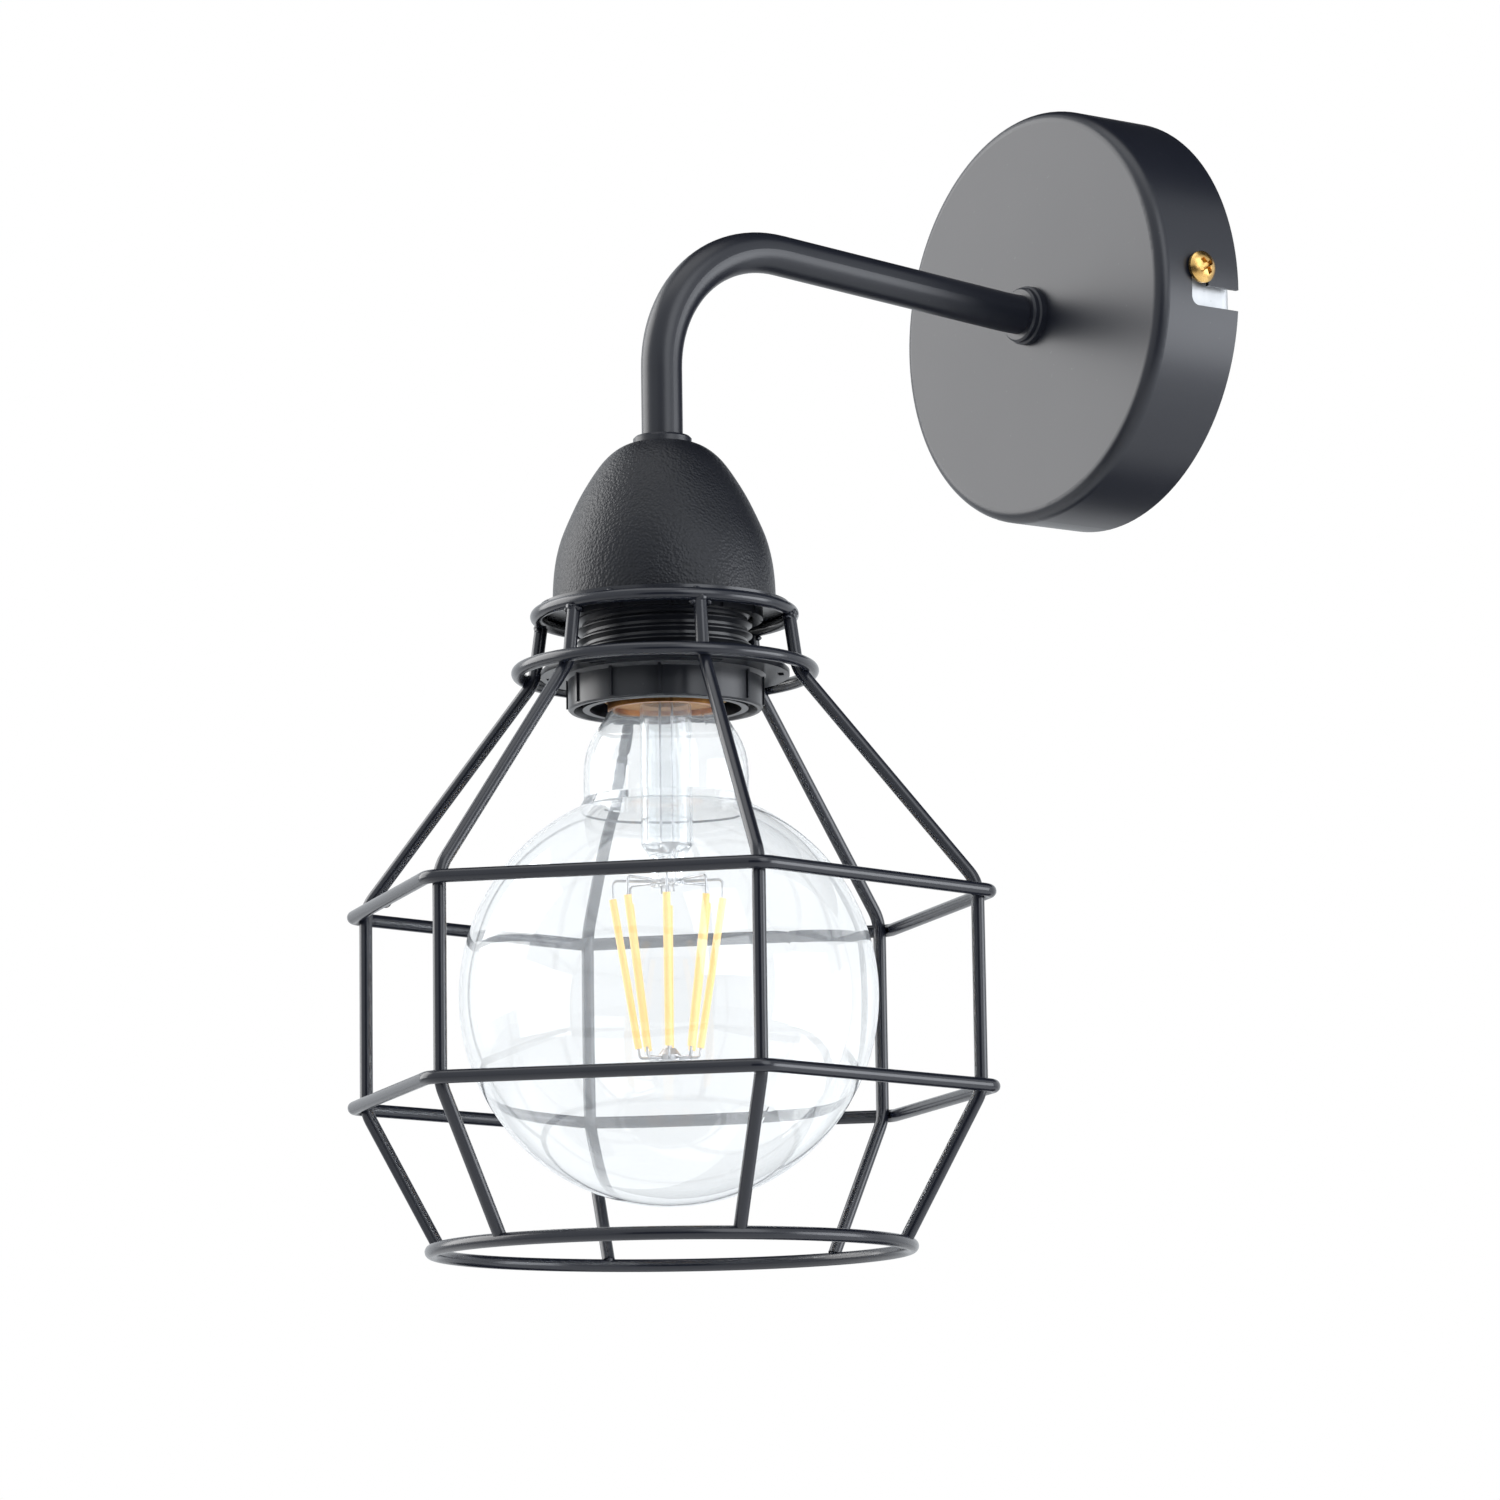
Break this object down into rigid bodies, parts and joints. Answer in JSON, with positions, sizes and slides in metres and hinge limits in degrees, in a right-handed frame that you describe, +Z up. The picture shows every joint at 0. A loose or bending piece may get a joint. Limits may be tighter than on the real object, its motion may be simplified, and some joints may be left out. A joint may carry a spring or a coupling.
{
  "type": "cage wall light",
  "caption": "Black wire-cage wall light: round canopy, bent tube arm, threaded lampholder under a domed cover, clear globe bulb inside a faceted cage.",
  "frame": {"origin": "centre of the wall bracket's screw-hole pattern, on the wall plane and on the canopy's axis", "axes": "+Y into the wall along the canopy's axis, +Z up, +X to the side with the slot and screw seen in the picture"},
  "size_m": [0.144, 0.2064, 0.2794],
  "materials": {
    "galvanised_steel": "zinc plated, slightly mottled",
    "screw_brass": "bright yellow zinc plate",
    "terminal_plastic": "moulded",
    "terminal_brass": "bare",
    "zinc_steel": "bright zinc",
    "satin_black_coat": "satin black powder coat",
    "bush_plastic": "moulded",
    "wrinkle_black_coat": "black coat with a fine leather grain",
    "holder_plastic": "black moulded thermoplastic",
    "carrier_ceramic": "unglazed",
    "live_insulation": "brown insulation",
    "neutral_insulation": "blue insulation",
    "earth_insulation": "green and yellow insulation",
    "cage_black_coat": "satin black powder coat over wire",
    "clear_glass": "clear",
    "cap_brass": "nickelled brass",
    "insulator_black": "black insulating bead",
    "tip_solder": "tinned",
    "board_white": "printed driver board",
    "cement_tan": "baked cement",
    "lead_nickel": "nickel wire",
    "phosphor_yellow": "yellow phosphor coat"
  },
  "bodies": {
    "bracket": {"mounting_bracket": "galvanised_steel", "canopy_screw_right": "screw_brass", "canopy_screw_left": "screw_brass", "earth_screw": "screw_brass", "terminal_block": "terminal_plastic", "terminal_inserts": "terminal_brass", "terminal_screws": "zinc_steel", "block_screw": "zinc_steel"},
    "fixture": {"canopy": "satin_black_coat", "arm_tube": "satin_black_coat", "canopy_collar": "satin_black_coat", "lock_washer": "zinc_steel", "lock_nut": "zinc_steel", "tube_bush": "bush_plastic", "cover_collar": "satin_black_coat", "holder_cover": "wrinkle_black_coat", "holder_nut": "zinc_steel", "holder_cap": "holder_plastic", "holder_body": "holder_plastic", "contact_carrier": "carrier_ceramic", "screw_shell": "terminal_brass", "centre_contact": "terminal_brass", "holder_terminals": "terminal_brass", "holder_terminal_screws": "zinc_steel", "live_wire": "live_insulation", "neutral_wire": "neutral_insulation", "earth_wire": "earth_insulation"},
    "cage": {"cage_plate": "cage_black_coat", "top_ring": "cage_black_coat", "collar_ring": "cage_black_coat", "cage_rod_1": "cage_black_coat", "cage_rod_2": "cage_black_coat", "cage_rod_3": "cage_black_coat", "cage_rod_4": "cage_black_coat", "cage_rod_5": "cage_black_coat", "cage_rod_6": "cage_black_coat", "upper_hoop": "cage_black_coat", "lower_hoop": "cage_black_coat", "bottom_ring": "cage_black_coat"},
    "clamp_ring": {"clamp_ring": "holder_plastic"},
    "skirt_ring": {"skirt_ring": "holder_plastic"},
    "bulb_glass": {"bulb_glass": "clear_glass"},
    "bulb_core": {"bulb_cap": "cap_brass", "bulb_insulator": "insulator_black", "bulb_tip": "tip_solder", "driver_board": "board_white", "cap_cement": "cement_tan", "stem_tube": "clear_glass", "lead_wires": "lead_nickel", "top_spider": "lead_nickel", "centre_rod": "lead_nickel", "bottom_button": "lead_nickel", "led_filament_1": "phosphor_yellow", "led_filament_2": "phosphor_yellow", "led_filament_3": "phosphor_yellow", "led_filament_4": "phosphor_yellow", "led_filament_5": "phosphor_yellow", "led_filament_6": "phosphor_yellow", "led_filament_7": "phosphor_yellow", "led_filament_8": "phosphor_yellow"}
  },
  "joints": [
    {"name": "canopy_twist", "type": "hinge", "parent": "bracket", "child": "fixture", "pos_m": [0, 0, 0], "axis": [0, -1, 0], "range_deg": [0, 7.5], "deforming": ["live_wire", "neutral_wire", "earth_wire"]},
    {"name": "cage_drop", "type": "slide", "parent": "fixture", "child": "cage", "axis": [0, 0, -1], "range_m": [0, 0.02]},
    {"name": "clamp_ring_turn", "type": "hinge", "parent": "cage", "child": "clamp_ring", "pos_m": [0, -0.132, -0.0835], "axis": [0, 0, -1], "range_deg": [0, 2880]},
    {"name": "skirt_ring_turn", "type": "hinge", "parent": "cage", "child": "skirt_ring", "pos_m": [0, -0.132, -0.1], "axis": [0, 0, -1], "range_deg": [0, 2880]},
    {"name": "bulb_travel", "type": "slide", "parent": "fixture", "child": "bulb_glass", "axis": [0, 0, -1], "range_m": [0, 0.01815]},
    {"name": "bulb_turn", "type": "hinge", "parent": "bulb_glass", "child": "bulb_core", "pos_m": [0, -0.132, -0.095], "axis": [0, 0, -1], "range_deg": [0, 1800]}
  ],
  "couplings": [
    {"joint": "clamp_ring_turn", "follows": "cage_drop", "rad_per_m": 2513.3},
    {"joint": "skirt_ring_turn", "follows": "cage_drop", "rad_per_m": 2513.3},
    {"joint": "bulb_turn", "follows": "bulb_travel", "rad_per_m": 1730.9}
  ]
}
